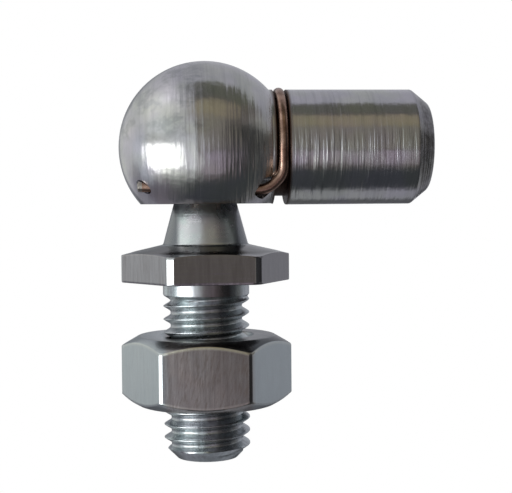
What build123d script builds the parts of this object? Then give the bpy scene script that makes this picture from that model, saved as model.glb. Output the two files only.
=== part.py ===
"""Angle ball joint: a socket head on a threaded rod end, and a ball stud with its nut.

All lengths are in millimetres. The origin is the centre of the rod hole's mouth, on
the end face of the shank. +X leaves the shank along the rod, +Z is up, and the stud
hangs down along -Z from the ball, whose centre lies SHANK_REACH behind the origin.
"""

import os
from math import acos, atan2, cos, radians, sin, sqrt, tan

from build123d import *

# Driving dimensions: ball and socket head
BALL_DIA = 13.0
BALL_CLEARANCE = 0.05  # radial, between the ball and its seat
HEAD_DIA = 19.5
HEAD_FLAT_DEPTH = 6.4  # ball centre to the head's flat underside
MOUTH_CHAMFER = 0.4

# Driving dimensions: shank and the threaded hole for the rod
SHANK_DIA = 13.1
SHANK_REACH = 25.5  # ball centre to the shank's end face
END_BEVEL_LENGTH = 2.0
END_BEVEL_DEPTH = 1.6
END_EDGE_RADIUS = 0.4
ROD_THREAD_DIA = 8.0
ROD_DRILL_DIA = 6.8
ROD_HOLE_DEPTH = 14.0
COUNTERSINK_MARGIN = 0.2  # countersink over the thread, on diameter
COUNTERSINK_ANGLE = 120.0
DRILL_POINT_ANGLE = 118.0

# Driving dimensions: snap ring that holds the ball below its equator
RING_WIRE_DIA = 1.0
RING_DROP = 2.5  # ball centre down to the ring
RING_PLAY = 0.03  # between the ring and the ball, and inside the ring's groove
RING_OPENING_ANGLE = 26.0

# Driving dimensions: retaining clip, its groove and its two holes
CLIP_WIRE_DIA = 1.2
CLIP_GROOVE_DISTANCE = 8.4  # ball centre to the middle of the groove
CLIP_GROOVE_WIDTH = 1.5
CLIP_GROOVE_FLOOR_DIA = 11.1
CLIP_SEAT_PLAY = 0.02  # between the wire and the floor of the groove
CLIP_LEG_DROP = 4.8  # shank axis down to the legs
CLIP_BALL_PLAY = 0.05  # between the legs and the ball
CLIP_BEND_RADIUS = 1.6
CLIP_LEG_PROUD = 0.7  # how far the legs stand out of the head
CLIP_HOLE_DIA = 1.5
CLIP_ENTRY_DIA = 2.9
CLIP_TIP_CHAMFER = 0.15

# Driving dimensions: stud. Depths are measured down from the ball centre
NECK_TOP_DIA = 6.75
NECK_BASE_DIA = 9.7
NECK_FILLET = 0.4
COLLAR_TOP_DEPTH = 11.0
COLLAR_SEAT_DEPTH = 15.2
COLLAR_ACROSS_FLATS = 17.0
COLLAR_CORNER_RADIUS = 0.6
COLLAR_BEVEL_ANGLE = 13.0
COLLAR_TURN = 4.5  # degrees about the stud
STUD_LENGTH = 20.1  # below the collar
PLAIN_LENGTH = 1.5  # unthreaded, just below the collar
PLAIN_DIA = 9.85
STUD_THREAD_DIA = 9.8
STUD_END_CHAMFER = 1.45

# Driving dimensions: nut
NUT_ACROSS_FLATS = 17.0
NUT_CORNER_RADIUS = 0.6
NUT_THICKNESS = 7.8
NUT_FACE_DIA = 15.5
NUT_BEVEL_ANGLE = 30.0
NUT_STANDOFF = 6.15  # collar's underside to the nut, the room for a lever
NUT_CLEARANCE = 0.05  # radial, over the stud's thread
NUT_MOUTH_CHAMFER = 0.35
NUT_TURN = -2.9  # degrees about the stud

# Worked out from the driving dimensions
BALL_R = BALL_DIA / 2
SEAT_R = BALL_R + BALL_CLEARANCE
HEAD_R = HEAD_DIA / 2
SHANK_R = SHANK_DIA / 2
RING_WIRE_R = RING_WIRE_DIA / 2
RING_R = sqrt((BALL_R + RING_PLAY + RING_WIRE_R) ** 2 - RING_DROP**2)
CLIP_WIRE_R = CLIP_WIRE_DIA / 2
CLIP_ARCH_R = CLIP_GROOVE_FLOOR_DIA / 2 + CLIP_SEAT_PLAY + CLIP_WIRE_R
LEG_DISTANCE = BALL_R + CLIP_BALL_PLAY + CLIP_WIRE_R  # ball centre to a leg's axis
LEG_Y = sqrt(LEG_DISTANCE**2 - CLIP_LEG_DROP**2)
LEG_SURFACE_X = sqrt(HEAD_R**2 - LEG_DISTANCE**2)  # where a leg meets the head
STUD_THREAD_R = STUD_THREAD_DIA / 2
STUD_END_DEPTH = COLLAR_SEAT_DEPTH + STUD_LENGTH
NUT_TOP_DEPTH = COLLAR_SEAT_DEPTH + NUT_STANDOFF
CUT_MARGIN = 5.0  # how far a cutting tool runs past what it cuts


def hexagon_prism(across_flats, corner_radius, turn, low, high):
    """A hexagonal bar about Z with rounded corners and one flat towards -Y."""
    outline = RegularPolygon(across_flats / 2, 6, major_radius=False, rotation=turn)
    rounded = fillet(outline.vertices(), corner_radius)
    return Pos(0, 0, low) * extrude(rounded, high - low)


def revolved_about_z(points):
    """A solid of revolution about Z from (radius, height) points."""
    profile = make_face(Polyline(*[(r, 0, z) for r, z in points], close=True))
    return revolve(profile, Axis.Z)


def clip_path():
    """Centre line of the clip: a leg, an arch over the shank and the other leg."""
    # The straight part of each side leaves the arch as a tangent and ends at the leg.
    leg_angle = atan2(CLIP_LEG_DROP, LEG_Y)
    wrap = leg_angle - acos(CLIP_ARCH_R / LEG_DISTANCE)
    side_y = CLIP_ARCH_R * cos(wrap)
    side_z = -CLIP_ARCH_R * sin(wrap)
    across = sin(wrap)
    down = cos(wrap)
    bend = CLIP_BEND_RADIUS
    groove_x = CLIP_GROOVE_DISTANCE
    tip_x = -(LEG_SURFACE_X + CLIP_LEG_PROUD)
    edges = [
        ThreePointArc(
            (groove_x, -side_y, side_z),
            (groove_x, 0, CLIP_ARCH_R),
            (groove_x, side_y, side_z),
        )
    ]
    for side in (1, -1):
        bend_start = (
            groove_x,
            side * (LEG_Y + bend * across),
            -CLIP_LEG_DROP + bend * down,
        )
        middle = bend / sqrt(2)
        bend_middle = (
            groove_x - bend + middle,
            side * (LEG_Y + (bend - middle) * across),
            -CLIP_LEG_DROP + (bend - middle) * down,
        )
        bend_end = (groove_x - bend, side * LEG_Y, -CLIP_LEG_DROP)
        edges.append(Line((groove_x, side * side_y, side_z), bend_start))
        edges.append(ThreePointArc(bend_start, bend_middle, bend_end))
        edges.append(Line(bend_end, (tip_x, side * LEG_Y, -CLIP_LEG_DROP)))
    return Wire([part for edge in edges for part in edge.edges()])


def make_socket():
    """Head, shank, ball seat, ring groove, clip groove and rod hole in one turned piece."""
    shank = revolve(
        make_face(
            Polyline(
                (0, 0, 0),
                (0, 0, SHANK_R),
                (SHANK_REACH - END_BEVEL_LENGTH, 0, SHANK_R),
                (SHANK_REACH, 0, SHANK_R - END_BEVEL_DEPTH),
                (SHANK_REACH, 0, 0),
                close=True,
            )
        ),
        Axis.X,
    )
    end_edge = (
        shank.edges()
        .filter_by(GeomType.CIRCLE)
        .filter_by_position(Axis.X, SHANK_REACH - 0.01, SHANK_REACH + 0.01)
    )
    shank = fillet(end_edge, END_EDGE_RADIUS)
    body = Sphere(HEAD_R) + shank

    groove_outside = Pos(CLIP_GROOVE_DISTANCE, 0, 0) * Rot(0, 90, 0) * (
        Cylinder(SHANK_R + CUT_MARGIN, CLIP_GROOVE_WIDTH)
        - Cylinder(CLIP_GROOVE_FLOOR_DIA / 2, CLIP_GROOVE_WIDTH)
    )
    body -= groove_outside

    flat_end_x = CLIP_GROOVE_DISTANCE - CLIP_GROOVE_WIDTH / 2
    flat_start_x = -HEAD_R - CUT_MARGIN
    below_flat = Box(flat_end_x - flat_start_x, HEAD_DIA + CUT_MARGIN, CUT_MARGIN)
    body -= Pos(
        (flat_end_x + flat_start_x) / 2, 0, -HEAD_FLAT_DEPTH - CUT_MARGIN / 2
    ) * below_flat

    seat = Sphere(SEAT_R) + Pos(0, 0, -(HEAD_FLAT_DEPTH + CUT_MARGIN) / 2) * Cylinder(
        SEAT_R, HEAD_FLAT_DEPTH + CUT_MARGIN
    )
    body -= seat
    body -= revolved_about_z(
        [
            (0, -HEAD_FLAT_DEPTH + MOUTH_CHAMFER),
            (SEAT_R, -HEAD_FLAT_DEPTH + MOUTH_CHAMFER),
            (SEAT_R + MOUTH_CHAMFER + CUT_MARGIN, -HEAD_FLAT_DEPTH - CUT_MARGIN),
            (0, -HEAD_FLAT_DEPTH - CUT_MARGIN),
        ]
    )
    body -= Pos(0, 0, -RING_DROP) * Torus(RING_R, RING_WIRE_R + RING_PLAY)

    rod_r = ROD_DRILL_DIA / 2
    mouth_r = (ROD_THREAD_DIA + COUNTERSINK_MARGIN) / 2
    mouth_depth = (mouth_r - rod_r) / tan(radians(COUNTERSINK_ANGLE / 2))
    point_depth = rod_r / tan(radians(DRILL_POINT_ANGLE / 2))
    floor_x = SHANK_REACH - ROD_HOLE_DEPTH
    rod_hole = revolve(
        make_face(
            Polyline(
                (floor_x - point_depth, 0, 0),
                (floor_x, 0, rod_r),
                (SHANK_REACH - mouth_depth, 0, rod_r),
                (SHANK_REACH, 0, mouth_r),
                (SHANK_REACH, 0, 0),
                close=True,
            )
        ),
        Axis.X,
    )
    body -= rod_hole

    entry_depth = (CLIP_ENTRY_DIA - CLIP_HOLE_DIA) / 2
    for side in (1, -1):
        body -= (
            Pos(0, side * LEG_Y, -CLIP_LEG_DROP)
            * Rot(0, 90, 0)
            * Cylinder(CLIP_HOLE_DIA / 2, 2 * (HEAD_R + 1))
        )
        countersink = revolved_about_z(
            [
                (0, -entry_depth),
                (CLIP_HOLE_DIA / 2, -entry_depth),
                (CLIP_ENTRY_DIA / 2, 0),
                (CLIP_ENTRY_DIA / 2, CLIP_ENTRY_DIA / 2),
                (0, CLIP_ENTRY_DIA / 2),
            ]
        )
        body -= Pos(LEG_SURFACE_X, side * LEG_Y, -CLIP_LEG_DROP) * Rot(0, 90, 0) * countersink
    return body


def make_snap_ring():
    """Open wire ring that sits in the head's inner groove, under the ball's equator."""
    section = Plane.XZ * Pos(RING_R, 0) * Circle(RING_WIRE_R)
    open_ring = revolve(section, Axis.Z, 360 - RING_OPENING_ANGLE)
    # The opening faces -X, away from the shank.
    return Pos(0, 0, -RING_DROP) * Rot(0, 0, 180 + RING_OPENING_ANGLE / 2) * open_ring


def make_clip():
    """Bent spring wire that straddles the shank and passes under the ball."""
    path = clip_path()
    start = path @ 0
    section = Plane(origin=start, z_dir=path % 0) * Circle(CLIP_WIRE_R)
    wire = sweep(section, path)
    tips = (
        wire.edges()
        .filter_by(GeomType.CIRCLE)
        .group_by(Axis.X)[0]
    )
    return chamfer(tips, CLIP_TIP_CHAMFER)


def make_stud():
    """Ball, conical neck, hexagonal collar and threaded end in one turned piece."""
    neck_top_r = NECK_TOP_DIA / 2
    neck_base_r = NECK_BASE_DIA / 2
    neck_top_depth = sqrt(BALL_R**2 - neck_top_r**2)
    bar_r = COLLAR_ACROSS_FLATS  # wide enough to hold the whole hexagon
    bevel_drop = (bar_r - neck_base_r) * tan(radians(COLLAR_BEVEL_ANGLE))
    collar = hexagon_prism(
        COLLAR_ACROSS_FLATS,
        COLLAR_CORNER_RADIUS,
        COLLAR_TURN,
        -COLLAR_SEAT_DEPTH,
        -COLLAR_TOP_DEPTH,
    ) & revolved_about_z(
        [
            (0, -COLLAR_TOP_DEPTH),
            (neck_base_r, -COLLAR_TOP_DEPTH),
            (bar_r, -COLLAR_TOP_DEPTH - bevel_drop),
            (bar_r, -COLLAR_SEAT_DEPTH - CUT_MARGIN),
            (0, -COLLAR_SEAT_DEPTH - CUT_MARGIN),
        ]
    )
    neck = revolved_about_z(
        [
            (0, 0),
            (neck_top_r, -neck_top_depth),
            (neck_base_r, -COLLAR_TOP_DEPTH),
            (neck_base_r, -COLLAR_TOP_DEPTH - 1),
            (0, -COLLAR_TOP_DEPTH - 1),
        ]
    )
    ball_and_neck = Sphere(BALL_R) + neck
    root = (
        ball_and_neck.edges()
        .filter_by(GeomType.CIRCLE)
        .filter_by_position(Axis.Z, -neck_top_depth - 0.01, -neck_top_depth + 0.01)
    )
    ball_and_neck = fillet(root, NECK_FILLET)
    thread_top_depth = COLLAR_SEAT_DEPTH + PLAIN_LENGTH
    end = revolved_about_z(
        [
            (0, -COLLAR_SEAT_DEPTH + 1),
            (PLAIN_DIA / 2, -COLLAR_SEAT_DEPTH + 1),
            (PLAIN_DIA / 2, -thread_top_depth),
            (STUD_THREAD_R, -thread_top_depth),
            (STUD_THREAD_R, -STUD_END_DEPTH + STUD_END_CHAMFER),
            (STUD_THREAD_R - STUD_END_CHAMFER, -STUD_END_DEPTH),
            (0, -STUD_END_DEPTH),
        ]
    )
    return ball_and_neck + collar + end


def make_nut():
    """Hexagon nut, bevelled on both faces, with a plain bore that clears the thread."""
    half = NUT_THICKNESS / 2
    face_r = NUT_FACE_DIA / 2
    bar_r = NUT_ACROSS_FLATS
    bevel_drop = (bar_r - face_r) * tan(radians(NUT_BEVEL_ANGLE))
    bore_r = STUD_THREAD_R + NUT_CLEARANCE
    blank = hexagon_prism(NUT_ACROSS_FLATS, NUT_CORNER_RADIUS, NUT_TURN, -half, half)
    bevels = revolved_about_z(
        [
            (0, half),
            (face_r, half),
            (bar_r, half - bevel_drop),
            (bar_r, -half + bevel_drop),
            (face_r, -half),
            (0, -half),
        ]
    )
    bore = revolved_about_z(
        [
            (0, half),
            (bore_r + NUT_MOUTH_CHAMFER, half),
            (bore_r, half - NUT_MOUTH_CHAMFER),
            (bore_r, -half + NUT_MOUTH_CHAMFER),
            (bore_r + NUT_MOUTH_CHAMFER, -half),
            (0, -half),
        ]
    )
    nut = (blank & bevels) - bore
    return Pos(0, 0, -NUT_TOP_DEPTH - half) * nut


def main():
    """Build every piece about the ball's centre and write it in the joint's frame."""
    pieces = {
        "ball_socket": make_socket(),
        "snap_ring": make_snap_ring(),
        "retaining_clip": make_clip(),
        "ball_stud": make_stud(),
        "hex_nut": make_nut(),
    }
    os.makedirs("parts", exist_ok=True)
    for name, piece in pieces.items():
        placed = Pos(-SHANK_REACH, 0, 0) * piece
        placed.label = name
        export_step(placed, f"parts/{name}.step")
        print(f"{name}: {placed.volume:.1f} mm3")


main()
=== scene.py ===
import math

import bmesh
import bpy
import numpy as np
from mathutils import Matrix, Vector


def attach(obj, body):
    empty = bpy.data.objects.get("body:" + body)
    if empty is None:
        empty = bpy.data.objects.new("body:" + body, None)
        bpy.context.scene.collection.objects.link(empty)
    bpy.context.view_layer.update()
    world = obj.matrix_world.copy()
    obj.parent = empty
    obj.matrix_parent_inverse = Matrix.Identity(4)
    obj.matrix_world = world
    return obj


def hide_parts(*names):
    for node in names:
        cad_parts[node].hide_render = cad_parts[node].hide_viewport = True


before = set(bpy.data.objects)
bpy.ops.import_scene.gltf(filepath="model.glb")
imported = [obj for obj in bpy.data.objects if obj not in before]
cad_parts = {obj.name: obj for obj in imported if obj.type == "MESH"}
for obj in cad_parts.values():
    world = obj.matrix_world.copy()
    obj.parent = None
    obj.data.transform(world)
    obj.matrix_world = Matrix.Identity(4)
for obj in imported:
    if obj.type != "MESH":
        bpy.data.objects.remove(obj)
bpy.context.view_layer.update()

# %% [markdown]
# # An angle ball joint, made from scratch
# The joint is a small steel linkage part: a turned socket head on a round shank, a wire
# clip that keeps the ball in, a ball stud with a hexagonal collar, and a nut. The frame
# that was just loaded holds the engineering solids. They give every place and size, and
# this lesson dresses them with finer meshes, real threads and metal finishes.

MM = 0.001

# %% [markdown]
# ## Where things are
# The frame's origin is the mouth of the rod hole, on the end face of the shank, and +X
# leaves along the rod. Everything else is easier to describe from the ball's centre, so
# each piece is made round that point, in millimetres, and moved into place at the end.

# %% The ball's centre
SHANK_REACH = 25.5
BALL_CENTRE = Vector((-SHANK_REACH * MM, 0, 0))
print("ball centre, mm:", tuple(round(c / MM, 2) for c in BALL_CENTRE))

# %% [markdown]
# ## The camera comes first
# The view is almost level, a little from the left of the shank's square-on side. A long
# lens held close to the object gives the gentle perspective of a product picture.

# %% Camera
CAMERA_DISTANCE = 135 * MM
CAMERA_LENS = 82.85
VIEW_TURN = math.radians(4.53)
VIEW_PITCH = math.radians(2.0)
VIEW_ROLL = math.radians(-0.46)
AIM = BALL_CENTRE + Vector((5.76, 0, -11.33)) * MM

camera_data = bpy.data.cameras.new("camera")
camera_data.lens = CAMERA_LENS
camera_data.sensor_width = 36
camera_data.clip_start = 1 * MM
camera_data.clip_end = 10
camera = bpy.data.objects.new("camera", camera_data)
bpy.context.collection.objects.link(camera)
look = Vector((
    math.sin(VIEW_TURN) * math.cos(VIEW_PITCH),
    math.cos(VIEW_TURN) * math.cos(VIEW_PITCH),
    -math.sin(VIEW_PITCH),
))
camera.location = AIM - look * CAMERA_DISTANCE
upright = look.to_track_quat("-Z", "Y").to_matrix()
camera.rotation_euler = (upright @ Matrix.Rotation(VIEW_ROLL, 3, "Z")).to_euler()
bpy.context.scene.camera = camera
print("camera at, mm:", tuple(round(c / MM, 1) for c in camera.location))

# %% [markdown]
# ## Rings of points
# Every piece here was turned on a lathe or formed round an axis. Its skin is a stack of
# rings, each with the same number of points, and neighbouring rings are joined by quads.
# Rings are better than a stock cylinder, because each point may be moved: inwards for a
# thread, outwards for a hexagon. Where a ring shrinks to a point, its points are merged.

# %% Rings and skins
AROUND = 144  # points on a ring, one every 2.5 degrees


def ring(radius, height, angles=None):
    """One ring about Z. The radius and the height may be numbers or functions of the angle."""
    points = []
    for angle in angles or [2 * math.pi * i / AROUND for i in range(AROUND)]:
        r = radius(angle) if callable(radius) else radius
        z = height(angle) if callable(height) else height
        points.append((r * math.cos(angle), r * math.sin(angle), z))
    return points


def skin(rings, step=0):
    """Vertices and quads of stacked rings. A helix's ring ends step rings further on."""
    count = len(rings[0])
    points = [p for one in rings for p in one]
    faces = []
    for k in range(len(rings) - 1):
        low = k * count
        for i in range(low, low + count - 1):
            faces.append((i, i + 1, i + count + 1, i + count))
        last = low + count - 1
        joined = (k - step) * count
        if 0 <= joined and k + 1 - step < len(rings):
            faces.append((last, joined, joined + count, last + count))
    return points, faces


print("a skin of two rings has", len(skin([ring(1, 0), ring(1, 1)])[1]), "faces")

# %% From skins to a mesh
MERGE_DISTANCE = 0.0005  # mm


def mesh_of(name, skins, turn_to_x=False):
    """One closed mesh, in mm about the ball's centre, from skins that share edge rings."""
    work = bmesh.new()
    for points, faces in skins:
        made = [work.verts.new(p) for p in points]
        for face in faces:
            work.faces.new([made[i] for i in face])
    bmesh.ops.remove_doubles(work, verts=work.verts, dist=MERGE_DISTANCE)
    bmesh.ops.dissolve_degenerate(work, edges=work.edges, dist=MERGE_DISTANCE / 5)
    bmesh.ops.recalc_face_normals(work, faces=work.faces)
    if turn_to_x:
        bmesh.ops.transform(work, verts=work.verts, matrix=Matrix.Rotation(math.pi / 2, 4, "Y"))
    mesh = bpy.data.meshes.new(name)
    work.to_mesh(mesh)
    open_edges = sum(1 for edge in work.edges if len(edge.link_faces) != 2)
    print(name, "has", len(mesh.polygons), "faces and", open_edges, "open edges")
    work.free()
    return mesh


print("points closer than", MERGE_DISTANCE, "mm are merged")

# %% [markdown]
# ## Profiles with softened corners
# A lathe's tool has a round nose and a deburrer follows it, so no edge is truly sharp. A
# bevel modifier would also work, but it moves the points of a thread next to it. Instead
# each corner of the profile is drawn as a small arc before the profile is turned, with a
# guard point on both sides, so that the shading of the long faces stays level.

# %% Profile helpers
GUARD = 1.5  # how far a guard point lies from a corner, in setbacks


def arc(centre, radius, start, end, steps):
    """Points (r, z) on an arc of a profile, from one angle to another, in degrees."""
    turns = [math.radians(start + (end - start) * i / steps) for i in range(steps + 1)]
    return [(centre[0] + radius * math.cos(t), centre[1] + radius * math.sin(t)) for t in turns]


def eased(path, corners, steps=3):
    """A copy of the path in which each numbered corner is an arc with the given setback."""
    smooth = []
    for n, point in enumerate(path):
        if n not in corners:
            smooth.append(point)
            continue
        here = Vector(point)
        back = Vector(path[n - 1]) - here
        on = Vector(path[n + 1]) - here
        room = [side.length > 2 * GUARD * corners[n] for side in (back, on)]
        back = back.normalized() * corners[n]
        on = on.normalized() * corners[n]
        if room[0]:
            smooth.append(tuple(here + back * GUARD))
        for i in range(steps + 1):
            t = i / steps
            smooth.append(tuple(here + back * (1 - t) ** 2 + on * t ** 2))
        if room[1]:
            smooth.append(tuple(here + on * GUARD))
    return smooth


corner_points = len(eased([(0, 0), (9, 0), (9, 9)], {1: 1.0})) - 2
print("a softened corner has", corner_points, "points, two of them guards")

# %% [markdown]
# ## A screw thread
# A metric thread is a 60 degree ridge that winds round the rod. Displacing a cylinder
# would leave jagged crests, because its rings are level and the thread isn't. Here each
# ring climbs by one pitch a turn, as the real thread does, and every ring is one line of
# the ridge: crest, flank or root. Past either end the rings are held at the end's height,
# which makes the run-out. A cone limits the radius, as the chamfer on a stud's end does.

# %% Thread
# Place on one pitch, counted from the middle of a crest, and depth as a share of the whole
THREAD_RIDGE = (
    (-0.05, 0.05), (-0.02, 0.0), (0.02, 0.0), (0.05, 0.05), (0.16, 0.36), (0.26, 0.68),
    (0.36, 0.94), (0.43, 1.0), (0.57, 1.0), (0.64, 0.94), (0.74, 0.68), (0.84, 0.36),
)
RIDGE_DEPTH = 0.5413  # of the pitch: five eighths of a sharp 60 degree ridge


def thread_rings(crest, pitch, top, bottom, phase, fade, limit, inward=1):
    """Climbing rings from top down to bottom, and how many of them make one turn."""
    step = len(THREAD_RIDGE)
    turns = int((top - bottom) / pitch) + 3
    rings = []
    for n in range(turns * step):
        turn, line = divmod(n, step)
        along, share = THREAD_RIDGE[line]
        points = []
        for i in range(AROUND):
            angle = 2 * math.pi * i / AROUND
            rise = pitch * (angle / (2 * math.pi) - turn - along + 1) + phase
            z = min(max(top + rise - pitch, bottom), top)
            depth = share * RIDGE_DEPTH * pitch * fade(z)
            r = limit(crest - inward * depth, z)
            points.append((r * math.cos(angle), r * math.sin(angle), z))
        rings.append(points)
    return rings, step


print("one turn of a thread is", len(THREAD_RIDGE), "rings of", AROUND, "points")

# %% [markdown]
# ## A hexagon under a cone
# The collar is what is left of a hexagonal bar, and the nut was pressed to the same
# shape. Neither way leaves a sharp corner, so each corner has a narrow flat, 0.8 mm wide
# on the collar and 0.42 mm on the nut. A lathe then turned a cone over the top, and where
# six flats cut through a cone its edge dips at each corner. A boolean would make that edge
# of ragged triangles. Here it is a ring whose height is worked out for every angle.

# %% Hexagon outline
def hexagon(across_flats, corner_flat, turn):
    """The radius of a hexagonal bar as a function of the angle, and where its points go."""
    flat = across_flats / 2
    reach = flat / math.cos(math.pi / 6) - corner_flat / 2 / math.tan(math.pi / 3)
    half_angle = math.asin(corner_flat / 2 / reach)

    def radius(angle):
        """The distance from the axis to the bar's side in one direction."""
        from_corner = (angle - turn + math.pi / 6) % (math.pi / 3) - math.pi / 6
        on_flat = flat / math.cos(math.pi / 6 - abs(from_corner))
        return min(on_flat, reach / math.cos(from_corner))

    angles = []
    sixth = AROUND // 6
    for i in range(AROUND):
        if i % sixth in (1, sixth - 1):  # these two sit on the edges of a corner's flat
            corner = (i + sixth // 2) // sixth * math.pi / 3
            angles.append(turn + corner + (half_angle if i % sixth == 1 else -half_angle))
        else:
            angles.append(turn + 2 * math.pi * i / AROUND)
    return radius, angles


def bar_edge(bar, cone_radius, cone_height, slope, side):
    """The height where a cone, falling at slope from cone_radius, meets the bar's side."""
    return lambda angle: cone_height - side * max(bar(angle) - cone_radius, 0) * slope


def inside(bar, amount):
    """The radius of a bar that is thinner by an amount all round."""
    return lambda angle: bar(angle) - amount


def above(height, amount):
    """The height of an edge that is raised by an amount all round."""
    return lambda angle: height(angle) + amount


ACROSS_FLATS = 17.0  # both hexagons take the same spanner
EDGE_BREAK = 0.12  # mm, the small rounding along the collar's and the nut's edges
print("across sharp corners, mm:", round(ACROSS_FLATS / math.cos(math.pi / 6), 2))

# %% [markdown]
# ## The stud
# The stud is one turned piece of steel: a 13 mm ball, a conical neck, the hexagonal collar
# for a spanner, a short plain length and an M10 thread with a chamfered end. Its skin is
# three stacks of rings that share their edges: ball to plain length, thread, and end face.

# %% Stud mesh
BALL_R = 6.5
BALL_STEPS = 44
NECK_TOP_R = 3.375
NECK_BASE_R = 4.85
NECK_TOP_Z = -math.sqrt(BALL_R ** 2 - NECK_TOP_R ** 2)
COLLAR_TOP = -11.0
COLLAR_SEAT = -15.2
COLLAR_CORNER = 0.8
COLLAR_TURN = math.radians(4.5)
COLLAR_SLOPE = math.tan(math.radians(13))
PLAIN_R = 4.925

collar_bar, collar_angles = hexagon(ACROSS_FLATS, COLLAR_CORNER, COLLAR_TURN)
collar_edge = bar_edge(collar_bar, NECK_BASE_R, COLLAR_TOP, COLLAR_SLOPE, 1)

ball_end = -90 + math.degrees(math.asin(NECK_TOP_R / BALL_R))
upper_profile = arc((0, 0), BALL_R, 90, ball_end, BALL_STEPS)
upper_profile += [
    (NECK_TOP_R + (NECK_BASE_R - NECK_TOP_R) * t, NECK_TOP_Z + (COLLAR_TOP - NECK_TOP_Z) * t)
    for t in (0.12, 0.4, 0.7)
]
upper_profile += [(NECK_BASE_R, COLLAR_TOP), (NECK_BASE_R + 0.5, COLLAR_TOP - 0.5 * COLLAR_SLOPE)]
neck_base = len(upper_profile) - 2
upper_profile = eased(upper_profile, {BALL_STEPS: 0.3, neck_base: 0.2}, 4)
stud_rings = [ring(max(r, 0), z) for r, z in upper_profile]
for cone_r in (7.2, 8.1):  # whole rings of the collar's cone, within the six flats
    stud_rings.append(
        ring(cone_r, COLLAR_TOP - (cone_r - NECK_BASE_R) * COLLAR_SLOPE, collar_angles)
    )
# How far in, and how far below the cone's edge or above the seat, in edge breaks
for in_by, down_by in ((1, 0.25), (0.3, 0.3), (0, 1), (0, 2.5)):
    stud_rings.append(ring(
        inside(collar_bar, EDGE_BREAK * in_by), above(collar_edge, -EDGE_BREAK * down_by),
        collar_angles,
    ))
for in_by, up_by in ((0, 2.5), (0, 1), (0.3, 0.3), (1, 0), (2.5, 0)):
    stud_rings.append(ring(
        inside(collar_bar, EDGE_BREAK * in_by), COLLAR_SEAT + EDGE_BREAK * up_by, collar_angles
    ))
stud_rings.append(ring(PLAIN_R + 1.0, COLLAR_SEAT, collar_angles))
print("ball, neck and collar are", len(stud_rings), "rings")

# %% The stud's lower half
THREAD_R = 4.9
THREAD_PITCH = 1.5
THREAD_TOP = COLLAR_SEAT - 1.5
THREAD_PHASE = 0.96  # mm, sets the height of the crests
THREAD_START = 0.6  # mm over which the die reached its full depth
STUD_END = COLLAR_SEAT - 20.1
END_R = THREAD_R - 1.45  # inside the chamfer

stud_rings += [ring(r, z) for r, z in (
    (PLAIN_R + 0.15, COLLAR_SEAT), (PLAIN_R + 0.04, COLLAR_SEAT - 0.04),
    (PLAIN_R, COLLAR_SEAT - 0.15), (PLAIN_R, THREAD_TOP + 0.1), (THREAD_R, THREAD_TOP),
)]


def stud_fade(z):
    """The thread starts shallow below the plain length."""
    return min(max((THREAD_TOP - z) / THREAD_START, 0), 1)


def stud_limit(r, z):
    """The chamfer on the stud's end is a 45 degree cone."""
    return min(r, END_R + z - STUD_END)


thread, turn_step = thread_rings(
    THREAD_R, THREAD_PITCH, THREAD_TOP, STUD_END, THREAD_PHASE, stud_fade, stud_limit
)
end_rings = [ring(END_R, STUD_END), ring(END_R - 1.2, STUD_END), ring(0, STUD_END)]
stud_mesh = mesh_of("ball_stud_metal", [
    skin(stud_rings), skin(thread, turn_step), skin(end_rings),
])

# %% [markdown]
# ## The nut
# A hexagon nut is a short prism with a cone turned on both faces, so each corner ends
# below the face and bright arcs appear on the flats. Its outside is one stack of rings,
# whose lower half mirrors the upper one.

# %% The nut's outside
NUT_TOP = COLLAR_SEAT - 6.15
NUT_BOTTOM = NUT_TOP - 7.8
NUT_MIDDLE = (NUT_TOP + NUT_BOTTOM) / 2
NUT_TURN = math.radians(-2.9)
NUT_CORNER = 0.42
NUT_FACE_R = 7.75
NUT_SLOPE = math.tan(math.radians(30))
NUT_BORE_R = 4.97
NUT_MOUTH = 0.45  # mm, the countersink at both ends of the bore

nut_bar, nut_angles = hexagon(ACROSS_FLATS, NUT_CORNER, NUT_TURN)
nut_upper = bar_edge(nut_bar, NUT_FACE_R, NUT_TOP, NUT_SLOPE, 1)
nut_lower = bar_edge(nut_bar, NUT_FACE_R, NUT_BOTTOM, NUT_SLOPE, -1)

# Radius and drop below the face, from the countersink to the start of the cone
nut_face = (
    (NUT_BORE_R + NUT_MOUTH, 0), (NUT_BORE_R + NUT_MOUTH + 0.3, 0), (NUT_FACE_R - 0.3, 0),
    (NUT_FACE_R - 0.04, 0.012), (NUT_FACE_R + 0.1, 0.1 * NUT_SLOPE),
)
# How far in and how far down, in edge breaks, from the edge where the cone meets the bar
nut_steps = ((1, -NUT_SLOPE), (0.3, 0.1), (0, 1), (0, 2.5))
nut_rings = [ring(NUT_BORE_R + NUT_MOUTH, NUT_TOP)]
nut_rings += [ring(r, NUT_TOP - drop, nut_angles) for r, drop in nut_face]
for in_by, down_by in nut_steps:
    nut_rings.append(ring(
        inside(nut_bar, EDGE_BREAK * in_by), above(nut_upper, -EDGE_BREAK * down_by), nut_angles
    ))
for in_by, up_by in reversed(nut_steps):
    nut_rings.append(ring(
        inside(nut_bar, EDGE_BREAK * in_by), above(nut_lower, EDGE_BREAK * up_by), nut_angles
    ))
nut_rings += [ring(r, NUT_BOTTOM + rise, nut_angles) for r, rise in reversed(nut_face)]
nut_rings += [
    ring(NUT_BORE_R + NUT_MOUTH, NUT_BOTTOM), ring(NUT_BORE_R, NUT_BOTTOM + NUT_MOUTH),
]
print("the nut's outside is", len(nut_rings), "rings over", round(NUT_TOP - NUT_BOTTOM, 2), "mm")

# %% [markdown]
# ## The nut's thread
# In a real nut the crests of one thread lie in the roots of the other. This nut slides
# along the stud without turning, so its thread is cut outwards instead, from a bore that
# is a hair wider than the stud's crests, and the two never touch.

# %% Nut mesh
NUT_LEAD_IN = 0.5  # mm over which the thread deepens


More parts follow.
